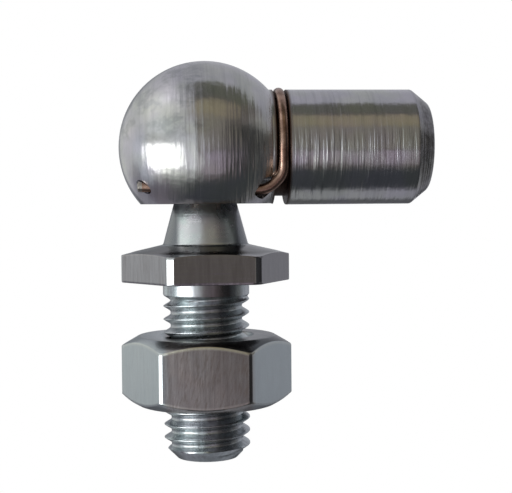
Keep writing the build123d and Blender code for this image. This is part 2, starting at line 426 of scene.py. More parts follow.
def nut_fade(z):
    """Half the depth of the stud's thread, and none at either end of the bore."""
    from_ends = min(NUT_TOP - NUT_MOUTH - z, z - NUT_BOTTOM - NUT_MOUTH)
    return min(from_ends / NUT_LEAD_IN, 0.5)


def no_limit(r, z):
    """A thread in a bore has no chamfer to stay within."""
    return r


nut_thread, turn_step = thread_rings(
    NUT_BORE_R, THREAD_PITCH, NUT_TOP - NUT_MOUTH, NUT_BOTTOM + NUT_MOUTH, THREAD_PHASE,
    nut_fade, no_limit, -1,
)
mouth_rings = [ring(NUT_BORE_R, NUT_TOP - NUT_MOUTH), ring(NUT_BORE_R + NUT_MOUTH, NUT_TOP)]
nut_mesh = mesh_of("hex_nut_metal", [
    skin(nut_rings), skin(nut_thread, turn_step), skin(mouth_rings),
])

# %% [markdown]
# ## The socket
# The head and its shank were turned from one bar, about the shank's axis: a sphere that
# runs into a cylinder, a groove for the clip, a bevelled end and a threaded hole for the
# rod. Then a cutter opened the ball's seat from below, across that axis. The mesh is made
# in the same order: a turned blank, and then boolean cuts with turned cutters.

# %% Socket blank
HEAD_R = 9.75
HEAD_STEPS = 60
SHANK_R = 6.55
GROOVE = (7.65, 9.15)
GROOVE_FLOOR_R = 5.55
END_BEVEL = (2.0, 1.6)  # along and across
ROD_DRILL_R = 3.4
ROD_MOUTH_R = 4.1

shank_start = math.sqrt(HEAD_R ** 2 - SHANK_R ** 2)
rod_top = SHANK_REACH - (ROD_MOUTH_R - ROD_DRILL_R) / math.tan(math.radians(60))
head_end = math.degrees(math.asin(shank_start / HEAD_R))
blank_profile = arc((0, 0), HEAD_R, -90, head_end, HEAD_STEPS) + [
    (SHANK_R, GROOVE[0]),
    (GROOVE_FLOOR_R, GROOVE[0]),
    (GROOVE_FLOOR_R, GROOVE[1]),
    (SHANK_R, GROOVE[1]),
    (SHANK_R, 14.0),  # this ring and the next keep the long faces short
    (SHANK_R, 19.0),
    (SHANK_R, SHANK_REACH - END_BEVEL[0]),
    (SHANK_R - END_BEVEL[1], SHANK_REACH),
    (ROD_MOUTH_R, SHANK_REACH),
    (ROD_DRILL_R, rod_top),
]
groove_corners = dict(zip(range(HEAD_STEPS + 1, HEAD_STEPS + 5), (0.08, 0.15, 0.15, 0.08)))
blank_profile = eased(blank_profile, {
    HEAD_STEPS: 0.05, **groove_corners, HEAD_STEPS + 7: 0.12, HEAD_STEPS + 8: 0.35,
}, 4)
blank_rings = [ring(max(r, 0), x) for r, x in blank_profile]
print("the shank starts", round(shank_start, 2), "mm from the ball's centre")

# %% Rod hole
ROD_PITCH = 1.25  # M8
ROD_DEPTH = 14.0
ROD_PHASE = 0.2
rod_bottom = SHANK_REACH - ROD_DEPTH + 1.6  # the tap stopped short of the drill's depth


def rod_fade(x):
    """The thread is a quarter deep at the mouth and runs out at its bottom end."""
    if x >= rod_top:
        return 0
    return min(1, max((x - rod_bottom) / 0.8, 0)) * min(1, 0.25 + (rod_top - x) / 0.4)


rod_thread, turn_step = thread_rings(
    ROD_DRILL_R, ROD_PITCH, rod_top, rod_bottom, ROD_PHASE, rod_fade, no_limit, -1
)
drill_rings = [
    ring(ROD_DRILL_R, rod_bottom), ring(ROD_DRILL_R, SHANK_REACH - ROD_DEPTH),
    ring(0, SHANK_REACH - ROD_DEPTH - ROD_DRILL_R / math.tan(math.radians(59))),
]
socket_mesh = mesh_of("ball_socket_metal", [
    skin(blank_rings), skin(rod_thread, turn_step), skin(drill_rings),
], turn_to_x=True)

# %% [markdown]
# ## What was cut out of the head
# Three tools cut the blank: a mill took the underside flat, a form tool bored the ball's
# seat with a groove for the snap ring, and a drill ran right through the head under the
# ball, once on each side, for the clip's legs. The legs spread by almost three degrees
# and drop by nearly two, so the drilled holes lean in the same way.

# %% Seat cutter
HEAD_FLAT = -6.4
SEAT_R = 6.55
MOUTH_CHAMFER = 0.4
RING_DROP = 2.5
RING_WIRE_R = 0.5
RING_PLAY = 0.03
RING_R = math.sqrt((BALL_R + RING_PLAY + RING_WIRE_R) ** 2 - RING_DROP ** 2)
CUTTER_REACH = 5  # mm past the surface, so that no cut ends on it

groove_half = math.sqrt((RING_WIRE_R + RING_PLAY) ** 2 - (SEAT_R - RING_R) ** 2)
groove_turn = math.degrees(math.atan2(groove_half, SEAT_R - RING_R))
seat_profile = arc((0, 0), SEAT_R, 90, 0, 40)
seat_profile += arc((RING_R, -RING_DROP), RING_WIRE_R + RING_PLAY, groove_turn, -groove_turn, 10)
seat_profile += [
    (SEAT_R, HEAD_FLAT + MOUTH_CHAMFER),
    (SEAT_R + MOUTH_CHAMFER, HEAD_FLAT),
    (SEAT_R + MOUTH_CHAMFER + CUTTER_REACH, HEAD_FLAT - CUTTER_REACH),
    (0, HEAD_FLAT - CUTTER_REACH),
]
seat_cutter = mesh_of("seat_cutter", [skin([ring(max(r, 0), z) for r, z in seat_profile])])

# %% Cutters for the underside and the legs' holes
LEG_MIDDLE = Vector((0, 5.445, -4.713))  # where the far leg passes the ball
LEG_WAY = Vector((1, 0.0495, -0.0304)).normalized()
LEG_ENTRY_X = 6.16
LEG_HOLE_R = 0.75
LEG_ENTRY_R = 1.45


def box_mesh(name, low, high):
    """A block between two corners."""
    work = bmesh.new()
    bmesh.ops.create_cube(work, size=1)
    for vertex in work.verts:
        vertex.co = [low[i] if vertex.co[i] < 0 else high[i] for i in range(3)]
    mesh = bpy.data.meshes.new(name)
    work.to_mesh(mesh)
    work.free()
    return mesh


def on_leg(x, side):
    """The point of a leg's middle line at a given x. The side is 1 for the far leg."""
    spot = LEG_MIDDLE + LEG_WAY * (x / LEG_WAY.x)
    return spot.x, side * spot.y, spot.z


def hole_mesh(name, side):
    """A long pin through the head for one leg of the clip, wider where the leg goes in."""
    entry = LEG_ENTRY_R - LEG_HOLE_R
    profile = [
        (0, -HEAD_R - 1), (LEG_HOLE_R, -HEAD_R - 1), (LEG_HOLE_R, LEG_ENTRY_X - entry),
        (LEG_ENTRY_R, LEG_ENTRY_X), (LEG_ENTRY_R, LEG_ENTRY_X + LEG_ENTRY_R),
        (0, LEG_ENTRY_X + LEG_ENTRY_R),
    ]
    mesh = mesh_of(name, [skin([ring(r, x) for r, x in profile])], turn_to_x=True)
    way = Vector((LEG_WAY.x, side * LEG_WAY.y, LEG_WAY.z))
    mesh.transform(Vector((1, 0, 0)).rotation_difference(way).to_matrix().to_4x4())
    mesh.transform(Matrix.Translation(on_leg(0, side)))
    return mesh


# %% Cuts
def cut(mesh, cutter):
    """The mesh with the cutter's shape taken out of it."""
    target = bpy.data.objects.new("target", mesh)
    tool = bpy.data.objects.new("tool", cutter)
    for held in (target, tool):
        bpy.context.collection.objects.link(held)
    boolean = target.modifiers.new("cut", "BOOLEAN")
    boolean.operation = "DIFFERENCE"
    boolean.solver = "EXACT"
    boolean.object = tool
    shape = target.evaluated_get(bpy.context.evaluated_depsgraph_get())
    done = bpy.data.meshes.new_from_object(shape)
    for held in (target, tool):
        bpy.data.objects.remove(held)
    print("cut", cutter.name, "leaves", len(done.polygons), "faces")
    return done


below_flat = box_mesh("below_flat", (-15, -15, -20), (GROOVE[0], 15, HEAD_FLAT))
for cutter in (below_flat, seat_cutter, hole_mesh("near_hole", -1), hole_mesh("far_hole", 1)):
    socket_mesh = cut(socket_mesh, cutter)
socket_mesh.name = "ball_socket_metal"

# %% [markdown]
# ## The wire pieces
# The retaining clip is one length of spring wire. It arches over the shank in its groove,
# bends at both sides and sends two legs through the head under the ball. A round wire is
# a circle swept along a path, and a curve with a bevel does just that. The snap ring
# inside the head is the same thing, bent into an open circle.

# %% Wire helper
WIRE_TIP = ((0, 0.5), (0.15, 0.8), (0.5, 0.95), (1, 1.0))  # place and thickness over a tip


def wire(name, path, radius):
    """A round wire along a path, in mm about the ball's centre, with rounded tips."""
    tip = radius * 0.35
    start, end = Vector(path[0]), Vector(path[-1])
    first = (Vector(path[1]) - start).normalized()
    last = (Vector(path[-2]) - end).normalized()
    points = [start + first * tip * t for t, _ in WIRE_TIP] + [Vector(p) for p in path[1:-1]]
    points += [end + last * tip * t for t, _ in reversed(WIRE_TIP)]
    tip_scale = [thickness for _, thickness in WIRE_TIP]
    scale = tip_scale + [1.0] * (len(path) - 2) + tip_scale[::-1]
    curve = bpy.data.curves.new(name, "CURVE")
    curve.dimensions = "3D"
    curve.bevel_depth = radius
    curve.bevel_resolution = 8
    curve.use_fill_caps = True
    curve.twist_mode = "MINIMUM"
    spline = curve.splines.new("POLY")
    spline.points.add(len(points) - 1)
    for spot, point, thickness in zip(spline.points, points, scale):
        spot.co = (*point, 1)
        spot.radius = thickness
    holder = bpy.data.objects.new(name, curve)
    bpy.context.collection.objects.link(holder)
    shape = holder.evaluated_get(bpy.context.evaluated_depsgraph_get())
    mesh = bpy.data.meshes.new_from_object(shape)
    bpy.data.objects.remove(holder)
    mesh.name = name
    print(name, "is", round(sum((b - a).length for a, b in zip(points, points[1:])), 1), "mm long")
    return mesh


# %% Clip and snap ring
LEG_R = 0.6
LEG_EXIT_X = -6.98
LEG_PROUD = 0.6
LEG_BEND_X = LEG_ENTRY_X + 0.45
GROOVE_MIDDLE = sum(GROOVE) / 2
ARCH_R = GROOVE_FLOOR_R + 0.02 + LEG_R
ARCH_STEPS = 24
BEND_START_Z = -3.2
BEND = 1.0  # mm, the setback of both bends

_, hole_y, hole_z = on_leg(LEG_BEND_X, 1)
wrap = math.atan2(-hole_z, hole_y) - math.acos(ARCH_R / math.hypot(hole_y, hole_z))
arch = [
    math.pi / 2 - (math.pi / 2 + wrap) * i / ARCH_STEPS for i in range(ARCH_STEPS + 1)
]
clip_half = [(GROOVE_MIDDLE, ARCH_R * math.cos(t), ARCH_R * math.sin(t)) for t in arch]
_, arch_y, arch_z = clip_half[-1]
share = (BEND_START_Z - arch_z) / (hole_z - arch_z)
clip_half += [
    (GROOVE_MIDDLE, arch_y + (hole_y - arch_y) * share, BEND_START_Z),
    (LEG_BEND_X, hole_y, hole_z),
]
clip_half += [on_leg(x, 1) for x in (4, 0, -4, LEG_EXIT_X - LEG_PROUD)]
clip_half = eased(clip_half, {ARCH_STEPS + 1: BEND, ARCH_STEPS + 2: BEND}, 6)
clip_path = [(x, -y, z) for x, y, z in reversed(clip_half[1:])] + clip_half
clip_mesh = wire("retaining_clip_wire", clip_path, LEG_R)

RING_OPENING = math.radians(26)
RING_STEPS = 72
ring_path = []
for i in range(RING_STEPS + 1):
    around = math.pi + RING_OPENING / 2 + (2 * math.pi - RING_OPENING) * i / RING_STEPS
    ring_path.append((RING_R * math.cos(around), RING_R * math.sin(around), -RING_DROP))
ring_mesh = wire("snap_ring_wire", ring_path, RING_WIRE_R)

# %% [markdown]
# ## Into the frame
# Each mesh so far is in millimetres about the ball's centre. Now it is scaled to metres,
# moved to its place and given to the body that carries it, so that it follows the joints.
# Edges sharper than 28 degrees stay crisp, and everything rounder is shaded smooth.

# %% Place the pieces
SHARP = math.radians(28)


def place(name, mesh, body, node):
    """A finished piece: scaled, moved, smoothed, and riding on its body for its node."""
    mesh.transform(Matrix.Translation(BALL_CENTRE) @ Matrix.Scale(MM, 4))
    mesh.shade_smooth()
    mesh.set_sharp_from_angle(angle=SHARP)
    piece = bpy.data.objects.new(name, mesh)
    bpy.context.collection.objects.link(piece)
    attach(piece, body)
    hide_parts(node)
    size = [round((max(c) - min(c)) / MM, 2) for c in zip(*(v.co for v in mesh.vertices))]
    print(name, "measures", size, "mm")
    return piece


socket = place("socket", socket_mesh, "housing", "ball_socket")
clip = place("wire_clip", clip_mesh, "housing", "retaining_clip")
inner_ring = place("inner_ring", ring_mesh, "ring", "snap_ring")
stud = place("stud", stud_mesh, "stud", "ball_stud")
nut = place("nut", nut_mesh, "nut", "hex_nut")

# %% [markdown]
# ## Colours and nodes
# Colours are written as they look on a screen. Cycles works in linear light, so one
# function turns them over. Another adds a node with its settings and its links, which
# keeps every material below short enough to read as a recipe.

# %% Helpers for materials
def to_linear(code):
    """Turns an sRGB hex colour such as "8c8f94" into linear red, green, blue and alpha."""
    channels = [int(code[i:i + 2], 16) / 255 for i in (0, 2, 4)]
    linear = [c / 12.92 if c <= 0.04045 else ((c + 0.055) / 1.055) ** 2.4 for c in channels]
    return (*linear, 1)


def add(tree, kind, links=None, **settings):
    """Adds a node. Settings are its own properties, and links feed or set its inputs."""
    node = tree.nodes.new(kind)
    for name, value in settings.items():
        setattr(node, name, value)
    for name, source in (links or {}).items():
        if isinstance(source, bpy.types.NodeSocket):
            tree.links.new(source, node.inputs[name])
        else:
            node.inputs[name].default_value = source
    return node


print("mid grey in linear light:", round(to_linear("808080")[0], 3))

# %% [markdown]
# ## The places that a finish is measured from
# A tool mark is laid out in millimetres along and round the axis that the piece was turned
# on. The object's own coordinates are metres from the frame's origin, so a short chain
# moves them to the ball's centre and multiplies them by a thousand. Noise that is fine
# along the axis and long round it gives lathe marks. Where a finish belongs to one part of
# a piece, such as the collar or the roots of the thread, its mask comes from the same
# places. A texture map could hold all this too, but it would be tied to one mesh and size.

# %% Millimetres from the ball's centre
def new_metal(name, colour, roughness):
    """A metal in one plain finish, to lay patterns over, and its places in mm from the ball."""
    metal = bpy.data.materials.new(name)
    metal.use_nodes = True
    tree = metal.node_tree
    surface = tree.nodes["Principled BSDF"]
    surface.inputs["Metallic"].default_value = 1.0
    surface.inputs["Base Color"].default_value = to_linear(colour)
    surface.inputs["Roughness"].default_value = roughness
    own = add(tree, "ShaderNodeTexCoord").outputs["Object"]
    centred = add(tree, "ShaderNodeVectorMath", {0: own, 1: BALL_CENTRE}, operation="SUBTRACT")
    in_mm = add(
        tree, "ShaderNodeVectorMath", {0: centred.outputs[0], "Scale": 1 / MM}, operation="SCALE"
    )
    return metal, tree, surface, in_mm.outputs[0]


def off_axis(tree, parts):
    """How far a place is from the stud's upright axis, in mm."""
    level = add(tree, "ShaderNodeCombineXYZ", {"X": parts["X"], "Y": parts["Y"]})
    away = add(tree, "ShaderNodeVectorMath", {0: level.outputs[0]}, operation="LENGTH")
    return away.outputs["Value"]


def off_middle(tree, value, middle):
    """How far a value is from its middle, on either side."""
    past = add(tree, "ShaderNodeMath", {0: value, 1: middle}, operation="SUBTRACT")
    return add(tree, "ShaderNodeMath", {0: past.outputs[0]}, operation="ABSOLUTE").outputs[0]


print("places are counted from", tuple(round(c / MM, 1) for c in BALL_CENTRE), "mm")

# %% [markdown]
# ## Patterns and coats
# A worn finish is a few thin layers: plating, bloom, scratches, stains, oil. Each one is a
# colour, a pattern that says where it lies, and how much of it there is at most. So two
# recipes do nearly all the work below: one makes a pattern of a given grain, and the other
# lays a colour over what is already there.

# %% Recipes for a pattern and a coat
GRAIN_CONTRAST = 0.6  # how strong each finer octave of a pattern is, as a share of the last


def streaks(tree, place_mm, spacing, detail=2.0, seed=0.0, lean=0.0):
    """Noise from 0 to 1 whose grain is one spacing, in mm, along each axis."""
    scaled = add(tree, "ShaderNodeMapping", {
        "Vector": place_mm, "Scale": spacing, "Location": (seed, seed, seed),
        "Rotation": (0, math.radians(lean), 0),
    }, vector_type="TEXTURE")
    return add(tree, "ShaderNodeTexNoise", {
        "Vector": scaled.outputs[0], "Scale": 1.0, "Detail": detail, "Roughness": GRAIN_CONTRAST,
    }).outputs["Fac"]


def coat(tree, under, colour, value, start, end, most=1.0, masks=()):
    """A colour over what is under it, from none where the value is start to most at end.

    The value is a noise or a place, and masks from 0 to 1 hold the coat to part of a piece.
    """
    share = add(tree, "ShaderNodeMapRange", {
        "Value": value, "From Min": start, "From Max": end, "To Max": most,
    }).outputs[0]
    for mask in masks:
        share = add(tree, "ShaderNodeMath", {0: share, 1: mask}, operation="MULTIPLY").outputs[0]
    return add(tree, "ShaderNodeMix", {
        0: share, 6: under, 7: to_linear(colour),
    }, data_type="RGBA").outputs[2]


print("each finer octave of a pattern is", GRAIN_CONTRAST, "as strong as the last")

# %% [markdown]
# ## Zinc-plated turned steel, for the head and shank
# The socket was turned from free-cutting steel and then zinc plated and clear passivated.
# Thin zinc follows the tool marks, so light runs across them in fine upright streaks, and
# the passivation leaves a faint straw and violet bloom. The patterns come first, each laid
# out from a real size, and then the colours of the plating itself.

# %% Socket metal, its patterns and plating
LATHE_FEED = 0.5  # mm between tool marks, three times the real feed so that they show
CHATTER = 1.3  # mm, slower waves from the tool's chatter
ROUND = 14.0  # mm that a tool mark runs round the shank before it changes

socket_metal, tree, surface, place_mm = new_metal("zinc_plated_turned_steel", "c3c6c8", 0.2)
parts = add(tree, "ShaderNodeSeparateXYZ", {0: place_mm}).outputs
feed = streaks(tree, place_mm, (LATHE_FEED, ROUND, ROUND), 3.0, 3.0)
chatter = streaks(tree, place_mm, (CHATTER, 9.0, 9.0), 2.0, 11.0)
# Handled patches are 3 or 4 mm across, and the bloom of the passivation is a little wider
dull = streaks(tree, place_mm, (3.5, 3.5, 3.5), 3.0, 7.0)
bloom = streaks(tree, place_mm, (5.0, 6.0, 5.0), 2.0, 23.0)
tint = coat(tree, to_linear("c6c7c1"), "c6c3ca", bloom, 0.38, 0.62)
tint = coat(tree, tint, "a3a8ab", dull, 0.4, 0.75, 0.35)
tint = coat(tree, tint, "77797d", feed, 0.48, 0.7, 0.2)
print("tool marks every", LATHE_FEED, "mm, chatter every", CHATTER, "mm")

# %% [markdown]
# ## Stains, grease and painted shade on the socket
# Rinsing after the plating left wavy stains on the upper side of the head. The clip's
# groove is painted dark brown, as painted shade in the recess together with its grease, and
# the bevelled end is darker in specks. Painting these by hand would tie them to one mesh,
# so each is held to its place by a mask in mm.

# %% Socket metal, stains, grease and painted shade
stains = streaks(tree, place_mm, (2.2, 2.2, 1.5), 3.0, 61.0)
rinsed = add(tree, "ShaderNodeMapRange", {"Value": parts["Z"], "From Min": 0.3, "From Max": 1.2})
on_head = add(tree, "ShaderNodeMapRange", {"Value": parts["X"], "From Min": 1.0, "From Max": -1.0})
tint = coat(
    tree, tint, "a0a2a4", stains, 0.46, 0.6, 0.7, (rinsed.outputs[0], on_head.outputs[0])
)

# Painted shade and grease: 1 in the groove, fading over a third of a millimetre past its edges
groove_shade_and_grease = add(tree, "ShaderNodeMapRange", {
    "Value": off_middle(tree, parts["X"], GROOVE_MIDDLE), "From Min": 1.15, "From Max": 0.8,
}).outputs[0]
# The groove is painted dark brown: painted shade in the recess, together with its grease
tint = coat(tree, tint, "5a473d", groove_shade_and_grease, 0, 1)
# The bevelled end of the shank is darker, in specks
specks = add(tree, "ShaderNodeMapRange", {
    "Value": streaks(tree, place_mm, (0.6, 0.6, 0.6), 2.0, 19.0),
    "From Min": 0.35, "From Max": 0.65, "To Min": 0.6, "To Max": 0.85,
})
tint = coat(tree, tint, "504e4e", parts["X"], 23.2, 24.2, 1.0, (specks.outputs[0],))
tree.links.new(tint, surface.inputs["Base Color"])
print("grease lies round x =", GROOVE_MIDDLE, "mm")

# %% [markdown]
# ## Gloss and tool marks on the socket
# The tool marks run round the axis, so they stretch a reflection across them: the surface
# is anisotropic, with its tangent round X. Bump adds the marks that are large enough to
# see one by one. They are fainter on the head, which was turned more finely, and on the
# upper side, which hands have rubbed. Grease is rougher than the plating.

# %% Socket metal, gloss and relief
rough = add(tree, "ShaderNodeMapRange", {
    "Value": dull, "From Min": 0.3, "From Max": 0.7, "To Min": 0.16, "To Max": 0.24,
})
rough = add(tree, "ShaderNodeMath", {
    0: groove_shade_and_grease, 1: 0.3, 2: rough.outputs[0],
}, operation="MULTIPLY_ADD")
tree.links.new(rough.outputs[0], surface.inputs["Roughness"])
surface.inputs["Anisotropic"].default_value = 0.8
surface.inputs["Anisotropic Rotation"].default_value = 0.25
around_x = add(tree, "ShaderNodeTangent", direction_type="RADIAL", axis="X")
tree.links.new(around_x.outputs[0], surface.inputs["Tangent"])

calm = add(tree, "ShaderNodeMapRange", {
    "Value": parts["X"], "From Min": -1.5, "From Max": 4.0, "To Min": 0.25,
})
handled = add(tree, "ShaderNodeMapRange", {
    "Value": parts["Z"], "From Min": 0.3, "From Max": 1.8, "To Min": 1.0, "To Max": 0.5,
})
strength = add(tree, "ShaderNodeMath", {
    0: calm.outputs[0], 1: handled.outputs[0],
}, operation="MULTIPLY")
FEED_DEPTH = 0.165  # mm, as far out of scale as the feed
bump = add(tree, "ShaderNodeBump", {
    "Height": feed, "Distance": FEED_DEPTH * MM, "Strength": strength.outputs[0],
})
for height, depth in ((chatter, 0.06), (dull, 0.07)):
    bump = add(tree, "ShaderNodeBump", {
        "Height": height, "Distance": depth * MM, "Normal": bump.outputs[0],
    })
tree.links.new(bump.outputs[0], surface.inputs["Normal"])
print(socket_metal.name, "has", len(tree.nodes), "nodes")

# %% [markdown]
# ## Zinc-plated bright steel, for the stud
# The stud was turned more finely and its plating is brighter, with the blue-green cast of
# fresh passivation. The neck and the thread gleam.

# %% Stud metal, its patterns and plating
STUD_FEED = 0.25  # mm, finer than the socket's but still coarser than the real feed

stud_metal, tree, surface, place_mm = new_metal("zinc_plated_bright_steel", "d4dadb", 0.18)
parts = add(tree, "ShaderNodeSeparateXYZ", {0: place_mm}).outputs
away = off_axis(tree, parts)
feed = streaks(tree, place_mm, (9.0, 9.0, STUD_FEED), 2.0, 13.0)
dull = streaks(tree, place_mm, (3.0, 3.0, 3.0), 3.0, 17.0)
bloom = streaks(tree, place_mm, (4.0, 4.0, 2.5), 2.0, 29.0)
tint = coat(tree, to_linear("d2dedc"), "d6d5d9", bloom, 0.36, 0.64)
tint = coat(tree, tint, "b0babb", dull, 0.4, 0.8, 0.4)
print("tool marks every", STUD_FEED, "mm")

# %% [markdown]
# ## The skin of the collar
# The flats of the collar are the drawn bar's own surface: smoother and browner than what
# the tool has cut, with fine lines along it, and worn bright on its corners. The cone is
# painted dark as painted shade, darker still on its right side, and the collar's right side
# and all but its leftmost flats are painted darker too, as painted shade. All of it is
# mixed apart, as one skin, and then laid on below the collar's top, where the plating as a
# whole is a little duller than on the neck.

# %% Stud metal, the collar and its painted shade
DRAWN_LINE = 0.45  # mm between the die's lines, which are really far finer

lower_tint_and_shade = add(tree, "ShaderNodeMix", {
    0: 0.5, 6: tint, 7: to_linear("b6bec4"),
}, data_type="RGBA").outputs[2]
# Each line is a range of distances from the axis, in mm, and the colour from there on:
# the cone, painted dark as painted shade, the flats, and the corners
for start, end, colour in ((5.0, 5.4, "656261"), (8.42, 8.47, "a4a3a6"), (9.54, 9.6, "d4dadb")):
    lower_tint_and_shade = coat(tree, lower_tint_and_shade, colour, away, start, end)
drawn = streaks(tree, place_mm, (DRAWN_LINE, DRAWN_LINE, 4.0), 3.0, 37.0)
lower_tint_and_shade = coat(tree, lower_tint_and_shade, "7b7677", drawn, 0.42, 0.68, 0.4)
# The collar's right side, past x = 5.3 mm, is painted darker, as painted shade
lower_tint_and_shade = coat(tree, lower_tint_and_shade, "68686b", parts["X"], 5.3, 5.7, 0.6)
# All flats but the leftmost are painted a little darker, as painted shade
on_flats = add(tree, "ShaderNodeMapRange", {"Value": away, "From Min": 8.42, "From Max": 8.47})
lower_tint_and_shade = coat(tree, lower_tint_and_shade, "6c686c", parts["X"], -4.7, -4.4, 0.3, (on_flats.outputs[0],))

# On a cone, the drop below its top and the distance from the axis differ by a fixed share
drop = add(tree, "ShaderNodeMath", {0: COLLAR_TOP, 1: parts["Z"]}, operation="SUBTRACT")
past_cone = add(tree, "ShaderNodeMath", {
    0: away, 1: -COLLAR_SLOPE, 2: drop.outputs[0],
}, operation="MULTIPLY_ADD")
cone = -NECK_BASE_R * COLLAR_SLOPE
on_cone = add(tree, "ShaderNodeMapRange", {
    "Value": past_cone.outputs[0], "From Min": cone + 0.05, "From Max": cone + 0.02,
})
# The right side of the cone is painted darker still, as painted shade
lower_tint_and_shade = coat(tree, lower_tint_and_shade, "36373a", parts["X"], 3.5, 5.0, 0.85, (on_cone.outputs[0],))
collar = add(tree, "ShaderNodeMapRange", {
    "Value": parts["Z"], "From Min": COLLAR_TOP + 0.15, "From Max": COLLAR_TOP - 0.05,
})
tint = add(tree, "ShaderNodeMix", {
    0: collar.outputs[0], 6: tint, 7: lower_tint_and_shade,
}, data_type="RGBA").outputs[2]
print("the collar's skin starts at z =", COLLAR_TOP, "mm")

# %% [markdown]
# ## Painted shade on the stud
# The front of the plain length and the roots of the thread are painted dark, as painted
# shade, while the crests keep the plating's colour. Both sides of the neck are painted
# darker too, as painted shade. These parts are rougher than bright plating, so the same
# masks dull the gloss.

# %% Stud metal, painted shade and gloss
plain = add(tree, "ShaderNodeMath", {
    0: parts["Z"], 1: (COLLAR_SEAT + THREAD_TOP) / 2, 2: (COLLAR_SEAT - THREAD_TOP) / 2,
}, operation="COMPARE").outputs[0]
threaded = add(tree, "ShaderNodeMath", {
    0: parts["Z"], 1: THREAD_TOP,
}, operation="LESS_THAN").outputs[0]
above_collar = add(tree, "ShaderNodeMath", {
    0: parts["Z"], 1: COLLAR_TOP,
}, operation="GREATER_THAN").outputs[0]
# The front of the plain length is painted dark, as painted shade
tint = coat(tree, tint, "6a605e", off_middle(tree, parts["X"], 0.9), 2.6, 1.4, 0.75, (plain,))
# The roots of the thread are painted darker, as painted shade
tint = coat(tree, tint, "4c5557", away, 4.6, 4.1, 0.2, (threaded,))
# Both sides of the neck are painted darker, as painted shade
tint = coat(tree, tint, "74777c", off_middle(tree, parts["X"], 0), 2.9, 3.4, 0.9, (above_collar,))
tree.links.new(tint, surface.inputs["Base Color"])

rough = add(tree, "ShaderNodeMapRange", {
    "Value": dull, "From Min": 0.3, "From Max": 0.75, "To Min": 0.12, "To Max": 0.2,
}).outputs[0]
for filmed in (threaded, plain, above_collar):
    rough = add(tree, "ShaderNodeMath", {
        0: filmed, 1: 0.12, 2: rough,
    }, operation="MULTIPLY_ADD").outputs[0]
tree.links.new(rough, surface.inputs["Roughness"])
# Plating doesn't lie quite level: it ripples by a hundredth or two over a millimetre
ripple = streaks(tree, place_mm, (0.9, 0.9, 1.4), 3.0, 31.0)
bump = add(tree, "ShaderNodeBump", {"Height": feed, "Distance": 0.012 * MM})
bump = add(tree, "ShaderNodeBump", {
    "Height": ripple, "Distance": 0.016 * MM, "Normal": bump.outputs[0],
})
tree.links.new(bump.outputs[0], surface.inputs["Normal"])
print(stud_metal.name, "has", len(tree.nodes), "nodes")

# %% [markdown]
# ## Zinc-plated cold-formed steel, for the nut
# The nut was pressed in a die, whose walls drew fine lines along its flats, from face to
# face, as it was pushed out. Handling has left slanting scratches across them, and the
# plating is a little warmer than on the stud. The right half is painted darker, as painted
# shade, and the outermost flats are painted paler and bluer, as painted light.

# %% Nut metal, its flats
NUT_LINE = 0.3  # mm between drawn lines, drawn coarser than they are so that they show
SCRATCH = 0.22  # mm, also coarser than the real scratches

nut_metal, tree, surface, place_mm = new_metal("zinc_plated_cold_formed_steel", "c6c8ca", 0.24)
parts = add(tree, "ShaderNodeSeparateXYZ", {0: place_mm}).outputs
away = off_axis(tree, parts)
sideways = off_middle(tree, parts["X"], 0)
drawn = streaks(tree, place_mm, (NUT_LINE, NUT_LINE, 5.0), 2.0, 41.0)
dull = streaks(tree, place_mm, (2.5, 2.5, 4.0), 3.0, 43.0)
bloom = streaks(tree, place_mm, (3.5, 3.5, 3.5), 2.0, 47.0)
scratches = streaks(tree, place_mm, (SCRATCH, SCRATCH, 1.3), 3.0, 51.0, lean=14.0)
tint = coat(tree, to_linear("beb8b5"), "b8b7b7", bloom, 0.36, 0.64)
# The right half is painted darker, as painted shade
tint = coat(tree, tint, "807d7a", parts["X"], -3.0, 3.5, 0.6)
tint = coat(tree, tint, "8a8685", drawn, 0.4, 0.7, 0.5)
tint = coat(tree, tint, "84796f", scratches, 0.5, 0.66, 0.45)
# The outermost flats are painted paler and bluer, as painted light
tint = coat(tree, tint, "b4bec2", sideways, 4.4, 5.0, 0.8)
print("drawn lines every", NUT_LINE, "mm, scratches", SCRATCH, "mm wide")

# %% [markdown]
# ## Painted highlights and painted shade on the nut
# The arcs where the turned cones meet the flats are painted bright, as painted highlights,
# most of all the upper ones in front. A bevel weight or a painted mask could mark them, but
# the cone has a formula: the set of points whose height and distance from the axis, times
# the slope, add up to a fixed number. One side of the upper cone and its face is painted
# dark, as painted shade.

# %% Nut metal, its cones
height = off_middle(tree, parts["Z"], NUT_MIDDLE)
past_cone = add(tree, "ShaderNodeMath", {
    0: away, 1: NUT_SLOPE, 2: height,
}, operation="MULTIPLY_ADD").outputs[0]
half_height = NUT_TOP - NUT_MIDDLE
cone = half_height + NUT_FACE_R * NUT_SLOPE
on_flat = add(tree, "ShaderNodeMath", {0: past_cone, 1: cone - 0.03}, operation="LESS_THAN")
upper = add(tree, "ShaderNodeMapRange", {
    "Value": parts["Z"], "From Min": NUT_BOTTOM, "From Max": NUT_TOP, "To Min": 0.2,
})
in_front = add(tree, "ShaderNodeMapRange", {
    "Value": sideways, "From Min": 4.0, "From Max": 5.5, "To Min": 1.0, "To Max": 0.2,
})
# The arcs are painted near white, as painted highlights
tint = coat(
    tree, tint, "e2e0d2", past_cone, cone - 0.4, cone - 0.15, 1.0,
    (on_flat.outputs[0], upper.outputs[0], in_front.outputs[0]),
)

